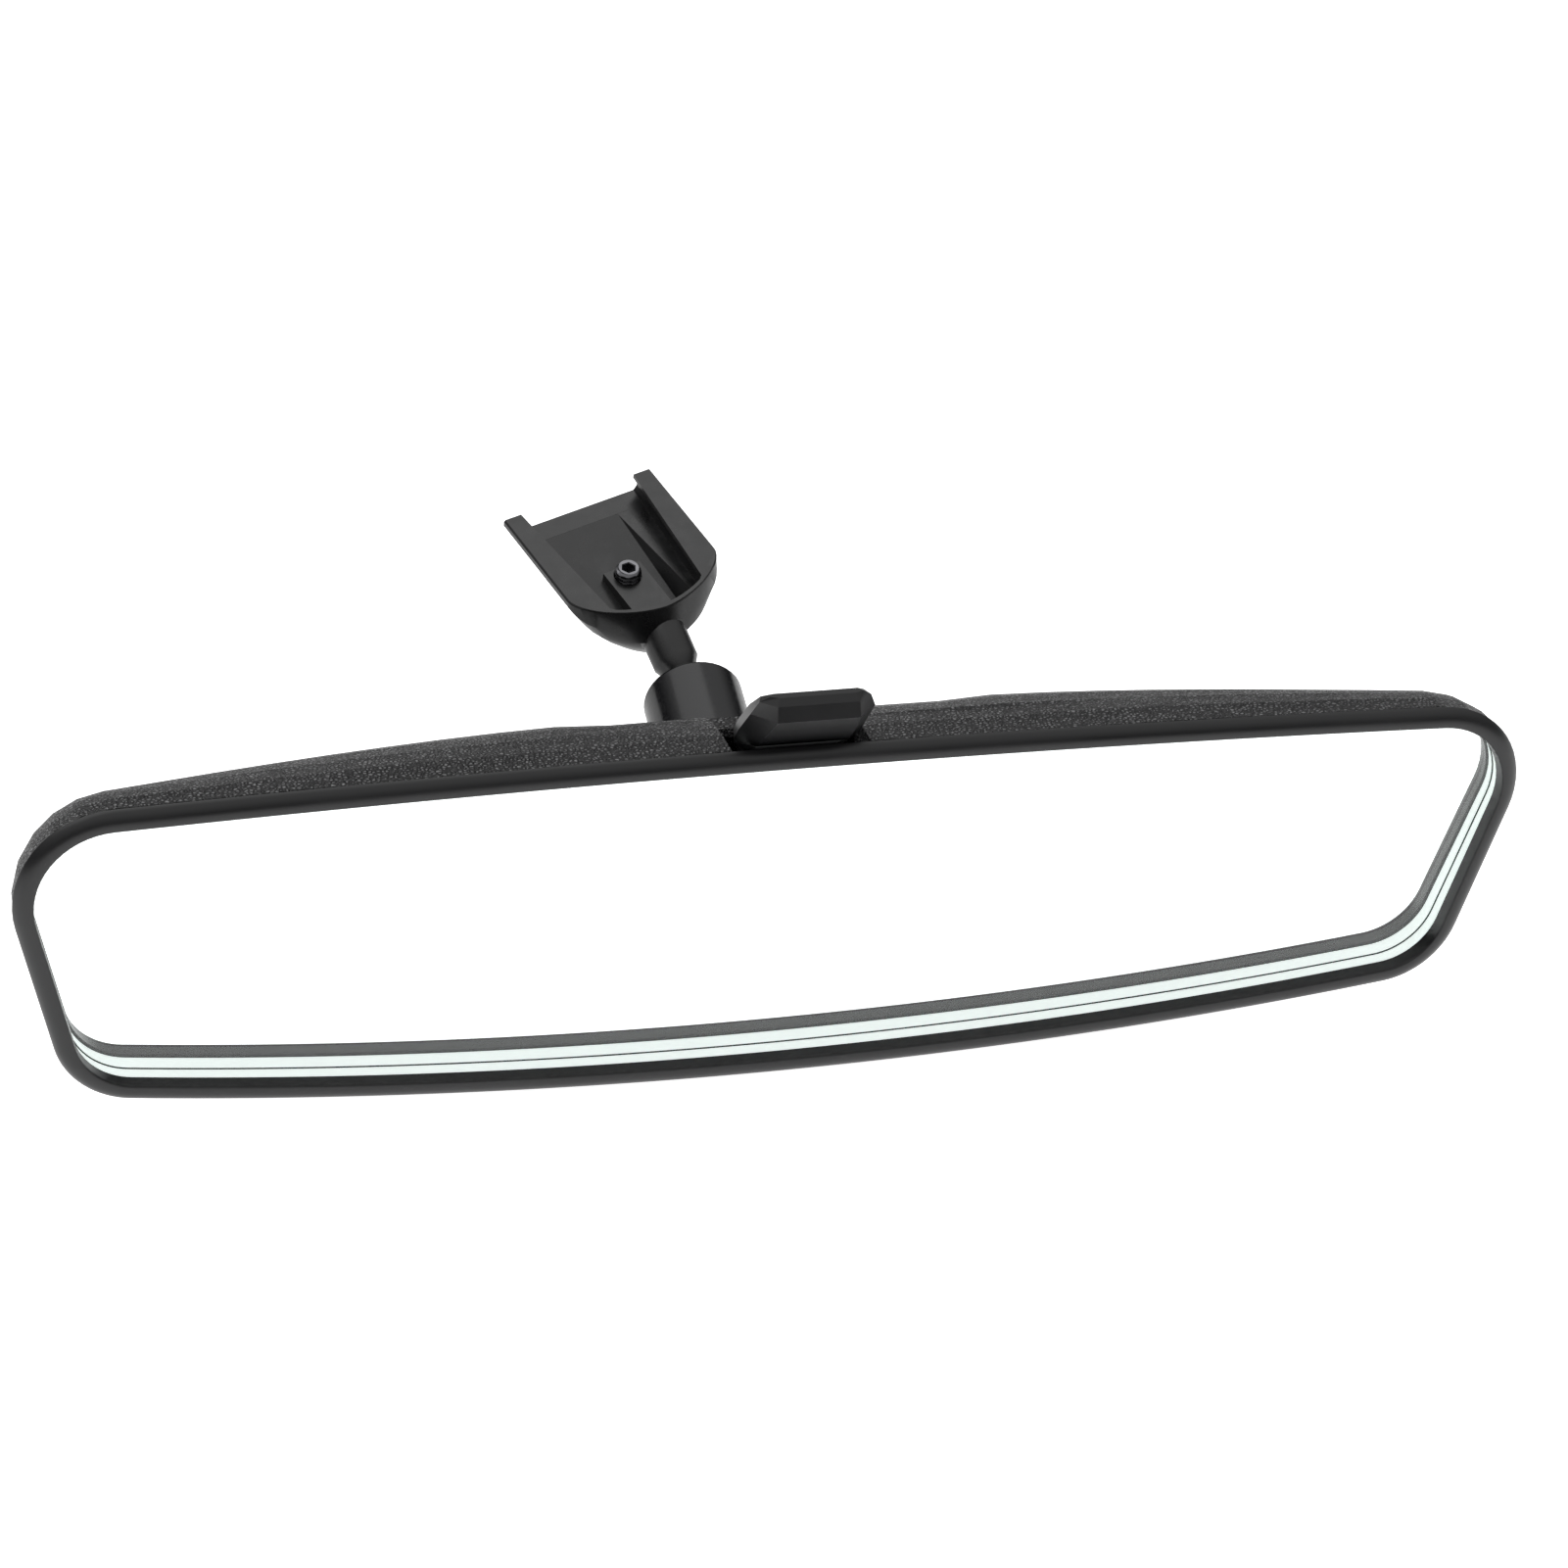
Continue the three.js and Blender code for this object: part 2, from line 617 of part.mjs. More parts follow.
function mountSpring() {
  const turns = 5.5;
  const from = 10.0;
  const length = MOUNT_SPAN - 2 * from;
  class Helix extends THREE.Curve {
    getPoint(t, out = V3(0, 0, 0)) {
      const a = 2 * Math.PI * turns * t;
      const eased = t - (0.35 * Math.sin(2 * Math.PI * t)) / (2 * Math.PI);
      return out.set(5.1 * Math.cos(a), from + length * eased, 5.1 * Math.sin(a));
    }
  }
  const wire = new THREE.Shape();
  wire.absarc(0, 0, 0.75, 0, 2 * Math.PI, false);
  const extrudePath = new Helix();
  const g = new THREE.ExtrudeGeometry(wire, { steps: 52, curveSegments: 5, extrudePath, bevelEnabled: false });
  g.applyQuaternion(new THREE.Quaternion().setFromUnitVectors(V3(0, 1, 0), TUBE_DIR));
  g.translate(HEAD_BALL.x, HEAD_BALL.y, HEAD_BALL.z);
  return solid(g);
}

function mountTube() {
  const end = TUBE_OVERHANG;
  const cupR = BALL_R + 0.15;
  const lip = (h) => Math.sqrt(cupR ** 2 - h ** 2);
  const half = [
    [lip(end), end],
    [TUBE_R - 1.0, end],
    [TUBE_R - 0.3, end - 0.3],
    [TUBE_R, end - 1.0],
  ];
  const cupSide = [
    [lip(0.8), 0.8],
    [lip(0.2), 0.2],
    [TUBE_BORE, 0.1],
  ];
  const profile = [
    ...cupSide.slice().reverse().map(([r, h]) => [r, -h]),
    ...half.map(([r, h]) => [r, -h]),
    ...half.slice().reverse().map(([r, h]) => [r, MOUNT_SPAN + h]),
    ...cupSide.map(([r, h]) => [r, MOUNT_SPAN + h]),
  ];
  profile.push(profile[0]);
  return turned(profile, HEAD_BALL, TUBE_DIR, 40);
}

// ---------------------------------------------------------------- windshield bracket
const bracketN = BRACKET.u.clone().cross(BRACKET.v).normalize();
const bracketV = bracketN.clone().cross(BRACKET.u).normalize();
const bracketFrame = new THREE.Matrix4()
  .makeBasis(BRACKET.u.clone().normalize(), bracketV, bracketN)
  .setPosition(BRACKET.origin);
const onBracket = (u, v, n) => V3(u, v, n).applyMatrix4(bracketFrame);

function placed(manifold) {
  const g = geometryOf(manifold);
  g.applyMatrix4(bracketFrame);
  return solid(g);
}

// U-shaped plan: straight sides and a blunt round end, inset on all sides but the open one.
function bracketPlan(inset, open, b = BRACKET.round - inset, steps = 26) {
  const w = BRACKET.half - inset;
  const pts = [];
  for (let i = 0; i < SIDE_ROWS; i++) pts.push([-w, open * (1 - i / SIDE_ROWS)]);
  for (let i = 0; i <= steps; i++) {
    const t = (Math.PI * i) / steps;
    const c = Math.cos(t);
    const s = Math.max(0, Math.sin(t));
    const p = 2 / BRACKET.roundPower;
    pts.push([-w * Math.sign(c) * Math.abs(c) ** p, -b * s ** p]);
  }
  for (let i = 1; i <= SIDE_ROWS; i++) pts.push([w, (open * i) / SIDE_ROWS]);
  return pts;
}

function windshieldBracket() {
  const deepness = bracketPlan(0, BRACKET.open).map(([, v]) =>
    THREE.MathUtils.smoothstep(-v, -DEEP_FROM_V, -DEEP_AT_V),
  );
  const rings = SHALLOW_SIDE.map(([n0, inset0, reach0], level) => {
    const [n1, inset1, reach1] = DEEP_SIDE[level];
    const shallow = bracketPlan(inset0, BRACKET.open, reach0);
    const deep = bracketPlan(inset1, BRACKET.open, reach1);
    const mix = (a, b, t) => a + (b - a) * t;
    return deepness.map((t, i) => {
      const u = mix(shallow[i][0], deep[i][0], t);
      const v = mix(shallow[i][1], deep[i][1], t);
      return V3(u, v, mix(n0, n1, t));
    });
  });
  const body = solid(stack(rings, flatXY));
  const ball = MOUNT_BALL.clone().applyMatrix4(bracketFrame.clone().invert());
  const dir = NECK_ROOT.clone().sub(ball);
  const reach = dir.length();
  const seam = Math.sqrt(BALL_R ** 2 - WAIST_R ** 2);
  const neck = turned(
    [
      [0, -BALL_R],
      ...arc(BALL_R, 180, Math.asin(WAIST_R / BALL_R) / RAD, 11).slice(1),
      [WAIST_R, seam + 0.7],
      [NECK_R - 0.1, seam + 2.6],
      [NECK_R, reach + 4],
      [0, reach + 4],
    ],
    ball,
    dir.clone().normalize(),
    30,
  );
  return placed(cut(join(body, neck), channel(), screwHole()));
}

// The tapered channel with undercut sides, the sloping floor and the pad left around the screw.
function channel() {
  const clip = (inset, extra) => {
    const end = BRACKET.open + 3;
    const half = (v) => CHANNEL_HALF + CHANNEL_TAPER * v + extra;
    return bracketPlan(inset, end).map(([u, v]) => [Math.sign(u) * Math.min(Math.abs(u), half(v)), v]);
  };
  const ring = (pts, n) => pts.map(([u, v]) => V3(u, v, n));
  const mouth = solid(stack([ring(clip(1.0, 0), 2), ring(clip(1.0, 0), LIP_N)], flatXY));
  const low = clip(1.7, UNDERCUT);
  const corner = clip(2.1, UNDERCUT - 0.6);
  const under = solid(
    stack(
      [ring(clip(1.0, 0), LIP_N + 0.4), ring(low, LIP_N - 0.6), ring(low, FLOOR_N + 1), ring(corner, FLOOR_N)],
      flatXY,
    ),
  );
  const front = -BRACKET.round + 1.7;
  const start = BRACKET.open - 4;
  const slope = (v) => (SUNK * (start - v)) / (start - front);
  const sunk = [
    V3(-SUNK_HALF, start, 0),
    V3(-SUNK_HALF, front, 0),
    V3(SUNK_HALF, front, 0),
    V3(SUNK_HALF, start, 0),
  ];
  const wedge = solid(
    stack(
      [
        sunk.map((p) => V3(p.x, p.y, FLOOR_N + 0.3)),
        sunk.map((p) => V3(p.x, p.y, FLOOR_N - 0.02)),
        sunk.map((p) => V3(p.x * SUNK_DRAFT, p.y, FLOOR_N - 0.02 - slope(p.y))),
      ],
      flatXY,
    ),
  );
  const inRound = solid(stack([ring(low, 3), ring(low, -9)], flatXY));
  const pad = box(-PAD_HALF, PAD_HALF, -12, PAD_END, -9, FLOOR_N);
  return join(mouth, under, cut(wedge.intersect(inRound), pad));
}

function screwHole() {
  return rod(SCREW_R + 0.12, -14, 0, V3(0, SCREW_V, 0), V3(0, 0, 1), 24);
}

function bracketScrew() {
  const profile = [
    [0, SCREW_END_N],
    [1.9, SCREW_END_N],
    [SCREW_R, SCREW_END_N + 0.5],
    [SCREW_R, SCREW_TIP_N - 0.5],
    [1.9, SCREW_TIP_N],
    [0, SCREW_TIP_N],
  ];
  const g = turned(profile, V3(0, SCREW_V, 0), V3(0, 0, 1), 24);
  const hex = new THREE.CylinderGeometry(1.25, 1.25, 3, 6);
  hex.rotateX(Math.PI / 2);
  hex.translate(0, SCREW_V, SCREW_TIP_N - 0.6);
  return placed(cut(g, solid(hex)));
}

// ---------------------------------------------------------------- materials
const finish = (color, roughness, metalness, extra = {}) =>
  new THREE.MeshStandardMaterial({ color, roughness, metalness, ...extra });
const LOOKS = {
  grainPlastic: () => finish(0x2a2a2c, 0.75, 0),
  satinPlastic: () => finish(0x1c1c1e, 0.45, 0),
  tubePlastic: () => finish(0x19191b, 0.32, 0),
  castPaint: () => finish(0x202023, 0.42, 0.2),
  blackSteel: () => finish(0x151516, 0.25, 0.8),
  steel: () => finish(0x9fa2a6, 0.35, 1),
  naturalNylon: () => finish(0xd8d5c8, 0.5, 0),
  glass: () => finish(0xe9f4ef, 0.05, 0),
  film: () => finish(0x6f7376, 0.6, 0.1),
};

// ---------------------------------------------------------------- assembly
const root = new THREE.Group();
const seat = onBracket(0, SEAT_V, FLOOR_N);

function node(name, manifold, look) {
  const parts = Array.isArray(manifold) ? manifold : [manifold];
  parts.forEach((part, i) => {
    const g = geometryOf(part).toNonIndexed();
    g.translate(-seat.x, -seat.y, -seat.z);
    g.computeVertexNormals();
    const mesh = new THREE.Mesh(g, LOOKS[look]());
    mesh.name = parts.length > 1 ? `${name}_${i + 1}` : name;
    root.add(mesh);
  });
}

const pinBar = (half, at, r) => barX(-half, half, at.y, at.z, r);
const inward = TUBE_DIR.clone().negate();

node("windshield_bracket", windshieldBracket(), "castPaint");
node("bracket_set_screw", bracketScrew(), "blackSteel");
node("upper_ball_liner", ballLiner(MOUNT_BALL, inward), "naturalNylon");
node("upper_spring_seat", springSeat(MOUNT_BALL, inward), "naturalNylon");
node("mount_spring", mountSpring(), "steel");
node("mount_tube", mountTube(), "tubePlastic");
node("lower_spring_seat", springSeat(HEAD_BALL, TUBE_DIR), "naturalNylon");
node("lower_ball_liner", ballLiner(HEAD_BALL, TUBE_DIR), "naturalNylon");
node("head_ball_stud", headBallStud(), "castPaint");
node("stud_washer", studWasher(), "steel");
node("stud_nut", studNut(), "steel");
node("toggle_plate", togglePlate(), "steel");
node("plate_pivot_pin", pinBar(30.4, PLATE_PIVOT, PIN_R), "steel");
node("toggle_lever", toggleLever(), "satinPlastic");
node("lever_pivot_pin", pinBar(15.2, LEVER_PIVOT, PIN_R), "steel");
node("lever_crank_pin", pinBar(10.2, crankPin(), CRANK_PIN_R), "steel");
node("detent_spring", detentSpring(), "steel");
node("detent_screw", detentScrews(), "steel");
node("rear_housing", rearHousing(), "grainPlastic");
node("front_bezel", frontBezel(), "satinPlastic");
node("mirror_glass", mirrorGlass(), "glass");
node("backing_film", backingFilm(), "film");

export default root;
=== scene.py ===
import json
import math

import bmesh
import bpy
from mathutils import Matrix, Vector

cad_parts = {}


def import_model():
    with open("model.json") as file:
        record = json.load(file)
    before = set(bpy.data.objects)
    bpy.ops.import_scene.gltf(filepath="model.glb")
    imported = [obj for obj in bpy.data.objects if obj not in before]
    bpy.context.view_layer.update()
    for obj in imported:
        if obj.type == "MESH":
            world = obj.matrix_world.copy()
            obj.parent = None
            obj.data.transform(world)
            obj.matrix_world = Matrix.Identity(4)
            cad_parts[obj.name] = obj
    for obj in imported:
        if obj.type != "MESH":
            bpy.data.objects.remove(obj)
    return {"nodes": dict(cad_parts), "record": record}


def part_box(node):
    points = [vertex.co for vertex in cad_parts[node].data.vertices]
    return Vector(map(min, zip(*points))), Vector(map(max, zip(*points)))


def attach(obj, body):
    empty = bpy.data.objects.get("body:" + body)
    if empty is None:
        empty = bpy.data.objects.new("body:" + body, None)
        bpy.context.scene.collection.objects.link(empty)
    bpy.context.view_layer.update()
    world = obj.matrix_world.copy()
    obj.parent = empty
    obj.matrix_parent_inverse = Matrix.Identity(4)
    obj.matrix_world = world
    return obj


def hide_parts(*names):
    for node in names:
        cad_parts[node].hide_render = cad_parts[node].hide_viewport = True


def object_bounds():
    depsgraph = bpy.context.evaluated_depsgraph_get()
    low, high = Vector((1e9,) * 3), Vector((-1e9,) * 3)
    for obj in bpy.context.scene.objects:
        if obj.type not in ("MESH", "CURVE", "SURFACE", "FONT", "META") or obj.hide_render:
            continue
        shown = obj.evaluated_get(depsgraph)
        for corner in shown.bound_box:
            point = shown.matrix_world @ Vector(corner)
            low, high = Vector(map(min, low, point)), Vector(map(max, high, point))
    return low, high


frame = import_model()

CAD_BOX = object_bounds()
MM = 0.001
HEAD = Vector((2.51211671, -85.38494174, -13.47015314))  # middle of the lip's front plane, in mm

# ---------------------------------------------------------------- shader helpers


def shader(name, base, rough, metallic=0.0, ior=1.5):
    """A new material and its Principled shader."""
    mat = bpy.data.materials.new(name)
    mat.use_nodes = True
    bsdf = mat.node_tree.nodes["Principled BSDF"]
    bsdf.inputs["Base Color"].default_value = (*base, 1)
    bsdf.inputs["Roughness"].default_value = rough
    bsdf.inputs["Metallic"].default_value = metallic
    bsdf.inputs["IOR"].default_value = ior
    return mat, bsdf


class Tree:
    """Short calls for adding nodes to one material."""

    def __init__(self, mat):
        self.t = mat.node_tree
        self.coord = self.add("ShaderNodeTexCoord").outputs["Object"]

    def add(self, kind, **props):
        n = self.t.nodes.new(kind)
        for k, v in props.items():
            setattr(n, k, v)
        return n

    def link(self, a, b):
        self.t.links.new(a, b)
        return b

    def noise(self, scale, detail=3.0, rough=0.55, stretch=None):
        n = self.add("ShaderNodeTexNoise")
        n.inputs["Scale"].default_value = scale
        n.inputs["Detail"].default_value = detail
        n.inputs["Roughness"].default_value = rough
        vec = self.coord
        if stretch:
            m = self.add("ShaderNodeMapping")
            m.inputs["Scale"].default_value = stretch
            self.link(vec, m.inputs["Vector"])
            vec = m.outputs["Vector"]
        self.link(vec, n.inputs["Vector"])
        return n.outputs["Fac"]

    def cells(self, scale, warp):
        """Distance to the edge of cells, whose outlines are warped by a noise."""
        n = self.add("ShaderNodeTexVoronoi", feature="DISTANCE_TO_EDGE")
        n.inputs["Scale"].default_value = scale
        w = self.add("ShaderNodeTexNoise")
        w.inputs["Scale"].default_value = scale * 0.6
        self.link(self.coord, w.inputs["Vector"])
        mix = self.add("ShaderNodeVectorMath", operation="MULTIPLY_ADD")
        self.link(w.outputs["Color"], mix.inputs[0])
        mix.inputs[1].default_value = (warp,) * 3
        self.link(self.coord, mix.inputs[2])
        self.link(mix.outputs[0], n.inputs["Vector"])
        return n.outputs["Distance"]

    def span(self, value, lo, hi, a=0.0, b=1.0):
        """Maps lo..hi to a..b, clamped."""
        n = self.add("ShaderNodeMapRange")
        n.inputs["From Min"].default_value = lo
        n.inputs["From Max"].default_value = hi
        n.inputs["To Min"].default_value = a
        n.inputs["To Max"].default_value = b
        self.link(value, n.inputs["Value"])
        return n.outputs["Result"]

    def ramp(self, value, stops):
        """Colour by value, from (position, colour) stops."""
        n = self.add("ShaderNodeValToRGB")
        e = n.color_ramp.elements
        for i, (pos, col) in enumerate(stops):
            if i >= 2:
                e.new(pos)
            e[i].position = pos
            e[i].color = (*col, 1)
        self.link(value, n.inputs["Fac"])
        return n.outputs["Color"]

    def math(self, op, a, b):
        n = self.add("ShaderNodeMath", operation=op)
        for i, v in enumerate((a, b)):
            if isinstance(v, (int, float)):
                n.inputs[i].default_value = v
            else:
                self.link(v, n.inputs[i])
        return n.outputs[0]

    def bump(self, height, strength, distance):
        n = self.add("ShaderNodeBump")
        n.inputs["Strength"].default_value = strength
        n.inputs["Distance"].default_value = distance
        self.link(height, n.inputs["Height"])
        return n.outputs["Normal"]

    def edges(self):
        """1 along outer edges, 0 on flat and hollow places."""
        g = self.add("ShaderNodeNewGeometry")
        return self.span(g.outputs["Pointiness"], 0.52, 0.6)


GRAIN_SCALE = 1500  # pebbles for each metre
GRAIN_WARP = 0.3 * MM
GRAIN_HEIGHT = 0.22 * MM


def grain_plastic():
    """Moulded leather grain, near black, with random paler patches, painted highlight on the pebble tops and
    painted shade in the grooves.
    """
    mat, bsdf = shader("grain_plastic", (0.01, 0.01, 0.0105), 0.5, ior=1.47)
    t = Tree(mat)
    pebble = t.span(t.cells(GRAIN_SCALE, GRAIN_WARP), 0.0, 0.32)
    fine = t.noise(4200, 2.0)
    height = t.math("ADD", pebble, t.math("MULTIPLY", fine, 0.45))
    t.link(t.bump(height, 1.0, GRAIN_HEIGHT), bsdf.inputs["Normal"])
    patches = t.noise(1700, 2.0, 0.7)
    # The pebble term paints highlight on the pebble tops and shade in the grooves between them. The patches
    # term is random tone.
    random_patches_and_painted_light = t.math("ADD", t.math("MULTIPLY", pebble, 0.35), t.math("MULTIPLY", patches, 0.65))
    # dark is mostly painted shade in the grooves and high is mostly painted highlight on the pebble tops.
    # The patches add random tone between them.
    dark = (0.004, 0.004, 0.0044)
    mid = (0.034, 0.034, 0.035)
    high = (0.2, 0.2, 0.204)
    t.link(t.ramp(random_patches_and_painted_light, [(0.36, dark), (0.55, mid), (0.7, high)]), bsdf.inputs["Base Color"])
    t.link(t.span(fine, 0.3, 0.7, 0.26, 0.5), bsdf.inputs["Roughness"])
    return mat


def satin_plastic():
    """Smooth moulded plastic with a very fine spark texture."""
    base = (0.0045, 0.0045, 0.005)
    mat, bsdf = shader("satin_plastic", base, 0.36, ior=1.45)
    t = Tree(mat)
    fine = t.noise(3200, 2.0)
    cloud = t.noise(45, 3.0)
    t.link(t.bump(fine, 0.10, 0.02 * MM), bsdf.inputs["Normal"])
    t.link(t.span(cloud, 0.3, 0.7, 0.3, 0.4), bsdf.inputs["Roughness"])
    bright = tuple(c * 1.5 for c in base)
    t.link(t.ramp(cloud, [(0.3, base), (0.75, bright)]), bsdf.inputs["Base Color"])
    return mat


def tube_plastic():
    """Smooth black tube, faintly drawn along its length."""
    mat, bsdf = shader("tube_plastic", (0.005, 0.005, 0.006), 0.2, ior=1.42)
    t = Tree(mat)
    drawn = t.noise(700, 3.0, stretch=(1, 0.06, 1))
    dust = t.noise(1700, 2.0)
    t.link(t.bump(drawn, 0.05, 0.03 * MM), bsdf.inputs["Normal"])
    t.link(t.span(dust, 0.35, 0.75, 0.14, 0.27), bsdf.inputs["Roughness"])
    clean = (0.004, 0.004, 0.005)
    dusty = (0.008, 0.008, 0.009)
    t.link(t.ramp(dust, [(0.35, clean), (0.8, dusty)]), bsdf.inputs["Base Color"])
    return mat


def cast_paint():
    """Satin black paint over die-cast metal: soft orange peel, thin and paler at the edges."""
    paint = (0.006, 0.006, 0.0064)
    thin = (0.022, 0.022, 0.023)
    mat, bsdf = shader("cast_paint", paint, 0.3, ior=1.48)
    t = Tree(mat)
    peel = t.noise(900, 3.0)
    cast = t.noise(2600, 2.0)
    height = t.math("ADD", peel, t.math("MULTIPLY", cast, 0.3))
    t.link(t.bump(height, 0.16, 0.05 * MM), bsdf.inputs["Normal"])
    t.link(t.span(t.noise(300, 3.0), 0.3, 0.7, 0.26, 0.34), bsdf.inputs["Roughness"])
    worn = t.math("MULTIPLY", t.edges(), t.span(t.noise(260, 4.0), 0.42, 0.6))
    t.link(t.ramp(worn, [(0.0, paint), (1.0, thin)]), bsdf.inputs["Base Color"])
    return mat


def steel(name, base, lo, hi):
    """Turned or rolled steel with fine tool marks."""
    mat, bsdf = shader(name, base, (lo + hi) / 2, metallic=1.0)
    t = Tree(mat)
    marks = t.noise(2400, 3.0)
    t.link(t.bump(marks, 0.12, 0.02 * MM), bsdf.inputs["Normal"])
    t.link(t.span(marks, 0.3, 0.7, lo, hi), bsdf.inputs["Roughness"])
    dull = tuple(c * 0.72 for c in base)
    t.link(t.ramp(t.noise(300, 4.0), [(0.35, dull), (0.65, base)]), bsdf.inputs["Base Color"])
    return mat


def nylon():
    """Natural moulded nylon, slightly waxy."""
    mat, bsdf = shader("nylon", (0.62, 0.6, 0.52), 0.45)
    bsdf.inputs["Subsurface Weight"].default_value = 0.2
    bsdf.inputs["Subsurface Radius"].default_value = (0.002, 0.0016, 0.001)
    t = Tree(mat)
    cloud = t.noise(500, 3.0)
    t.link(t.ramp(cloud, [(0.3, (0.56, 0.54, 0.46)), (0.7, (0.67, 0.65, 0.57))]), bsdf.inputs["Base Color"])
    t.link(t.span(cloud, 0.3, 0.7, 0.38, 0.55), bsdf.inputs["Roughness"])
    t.link(t.bump(cloud, 0.1, 0.03 * MM), bsdf.inputs["Normal"])
    return mat


def film():
    """Grey adhesive sheet with a faint woven texture."""
    mat, bsdf = shader("backing_film", (0.3, 0.31, 0.32), 0.6)
    t = Tree(mat)
    weave = t.noise(1500, 2.0, stretch=(1, 1, 0.2))
    t.link(t.ramp(weave, [(0.3, (0.25, 0.26, 0.27)), (0.7, (0.36, 0.37, 0.38))]), bsdf.inputs["Base Color"])
    t.link(t.bump(weave, 0.15, 0.04 * MM), bsdf.inputs["Normal"])
    return mat


def clear_glass():
    """Polished front of the mirror glass, with very faint smears in its gloss."""
    mat, bsdf = shader("mirror_glass", (0.97, 0.995, 0.985), 0.0, ior=1.52)
    bsdf.inputs["Transmission Weight"].default_value = 1.0
    t = Tree(mat)
    t.link(t.span(t.noise(35, 4.0), 0.45, 0.8, 0.0, 0.012), bsdf.inputs["Roughness"])
    return mat


EDGE_GLOW = 0.72


def ground_glass():
    """Ground edge of the glass: frosted, pale green-white, with a glow of its own.

    The glow stands in for light that comes through the glass. A real edge does not shine.
    """
    mat, bsdf = shader("ground_glass", (0.62, 0.7, 0.66), 0.55, ior=1.5)
    bsdf.inputs["Emission Color"].default_value = (0.95, 1.0, 0.985, 1)
    bsdf.inputs["Emission Strength"].default_value = EDGE_GLOW
    t = Tree(mat)
    grit = t.noise(2600, 3.0)
    t.link(t.ramp(grit, [(0.3, (0.55, 0.63, 0.59)), (0.7, (0.72, 0.79, 0.75))]), bsdf.inputs["Base Color"])
    t.link(t.bump(grit, 0.3, 0.04 * MM), bsdf.inputs["Normal"])
    return mat


def silvering():
    """Silver on the back of the glass."""
    mat, bsdf = shader("silvering", (0.93, 0.94, 0.94), 0.0, metallic=1.0)
    t = Tree(mat)
    t.link(t.span(t.noise(25, 3.0), 0.4, 0.8, 0.0, 0.006), bsdf.inputs["Roughness"])
    return mat


def edge_seal():
    """Dark sealing paint on the small bevels round the glass."""
    dark = (0.02, 0.03, 0.028)
    mat, bsdf = shader("edge_seal", dark, 0.5)
    t = Tree(mat)
    t.link(t.ramp(t.noise(1500), [(0.3, dark), (0.7, (0.05, 0.065, 0.06))]), bsdf.inputs["Base Color"])
    return mat


GRAIN = grain_plastic()
SATIN = satin_plastic()
TUBE = tube_plastic()
PAINT = cast_paint()
SCREW = steel("black_steel", (0.16, 0.16, 0.17), 0.1, 0.22)
ZINC = steel("bright_steel", (0.56, 0.57, 0.59), 0.22, 0.4)
NYLON = nylon()
FILM = film()
CLEAR = clear_glass()
GROUND = ground_glass()
SILVER = silvering()
EDGE_SEAL = edge_seal()

for name, mat in {
    "upper_ball_liner": NYLON,
    "upper_spring_seat": NYLON,
    "lower_ball_liner": NYLON,
    "lower_spring_seat": NYLON,
    "mount_spring": ZINC,
    "stud_washer": ZINC,
    "stud_nut": ZINC,
    "toggle_plate": ZINC,
    "plate_pivot_pin": ZINC,
    "lever_pivot_pin": ZINC,
    "lever_crank_pin": ZINC,
    "detent_spring": ZINC,
    "detent_screw_1": ZINC,
    "detent_screw_2": ZINC,
    "backing_film": FILM,
}.items():
    frame["nodes"][name].data.materials.clear()
    frame["nodes"][name].data.materials.append(mat)

# ---------------------------------------------------------------- mesh helpers


def finish_piece(obj, body, node, mats, sharp):
    """Materials, shading and hand-over of one visible piece."""
    for m in mats:
        obj.data.materials.append(m)
    obj.data.shade_smooth()
    obj.data.set_sharp_from_angle(angle=math.radians(sharp))
    even = obj.modifiers.new("even", "WEIGHTED_NORMAL")
    even.keep_sharp = True
    even.weight = 90
    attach(obj, body)
    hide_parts(node)
    return obj


def from_head(verts):
    """Points in mm from the lip's middle, turned into the shared frame's metres."""
    return [(Vector(v) + HEAD) * MM for v in verts]


def new_object(name, verts, faces, face_mats=()):
    """A closed mesh with its faces turned outwards. verts are in metres."""
    me = bpy.data.meshes.new(name)
    me.from_pydata(verts, [], faces)
    for p, m in zip(me.polygons, face_mats):
        p.material_index = m
    bm = bmesh.new()
    bm.from_mesh(me)
    bmesh.ops.recalc_face_normals(bm, faces=bm.faces)
    bm.to_mesh(me)
    bm.free()
    obj = bpy.data.objects.new(name, me)
    bpy.context.scene.collection.objects.link(obj)
    return obj


def apply_modifiers(obj):
    dg = bpy.context.evaluated_depsgraph_get()
    me = bpy.data.meshes.new_from_object(obj.evaluated_get(dg))
    obj.modifiers.clear()
    obj.data = me


def rounded_copy(node, name, width, angle, segments):
    """A copy of a CAD node with its hard edges eased."""
    src = frame["nodes"][node]
    obj = bpy.data.objects.new(name, src.data.copy())
    obj.data.materials.clear()
    bpy.context.scene.collection.objects.link(obj)
    bm = bmesh.new()
    bm.from_mesh(obj.data)
    bmesh.ops.remove_doubles(bm, verts=bm.verts, dist=2e-6)
    bmesh.ops.dissolve_limit(bm, angle_limit=math.radians(1.0), verts=bm.verts, edges=bm.edges)
    bm.to_mesh(obj.data)
    bm.free()
    obj.data.polygons.foreach_set("material_index", [0] * len(obj.data.polygons))
    b = obj.modifiers.new("ease", "BEVEL")
    b.width = width
    b.segments = segments
    b.limit_method = "ANGLE"
    b.angle_limit = math.radians(angle)
    b.use_clamp_overlap = True
    b.miter_outer = "MITER_ARC"
    b.harden_normals = False
    apply_modifiers(obj)
    return obj


# ---------------------------------------------------------------- head outline
HALF_TOP, HALF_BOTTOM = 27.75, 27.75
TOP_R, BOTTOM_R = 3300.0, 880.0
SIDE_X, LEAN = 120.6, 0.274
TOP_CORNER, BOTTOM_CORNER = 12.8, 11.2
ARC, CORNER, SIDE = 30, 16, 3


